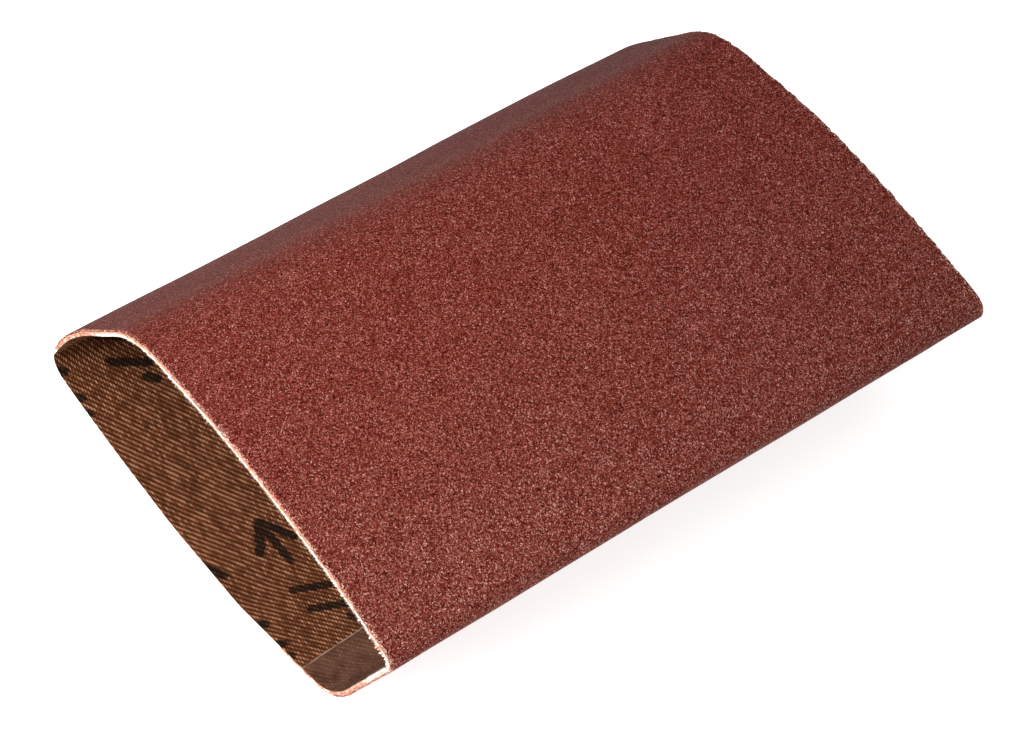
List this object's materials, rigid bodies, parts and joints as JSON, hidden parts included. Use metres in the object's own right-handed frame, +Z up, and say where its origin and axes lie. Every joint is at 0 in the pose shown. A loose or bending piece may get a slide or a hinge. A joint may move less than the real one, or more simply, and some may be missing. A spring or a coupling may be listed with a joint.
{
  "type": "abrasive sleeve for a hand sanding block",
  "caption": "Short endless sleeve of red-brown abrasive cloth, open at both ends, creased along one side, with a skew taped joint inside.",
  "frame": {"origin": "on the floor under the middle of the sleeve's box", "axes": "+Y along the sleeve from mouth to mouth, +X across it towards the creased side, +Z up from the floor it lies on"},
  "size_m": [0.088, 0.1, 0.0398],
  "materials": {
    "backing_cloth": "brown filled cotton twill, matt",
    "make_coat": "cured phenolic resin, salmon where chipped",
    "abrasive_grain": "crushed aluminium oxide, sparkling",
    "size_coat": "red-brown resin over the grain, rough",
    "splice_adhesive": "clear amber adhesive",
    "splice_tape": "translucent greyish film, satin"
  },
  "bodies": {
    "root": {"backing_cloth": "backing_cloth", "make_coat": "make_coat", "abrasive_grain": "abrasive_grain", "size_coat": "size_coat", "splice_adhesive": "splice_adhesive", "splice_tape": "splice_tape"}
  },
  "joints": []
}
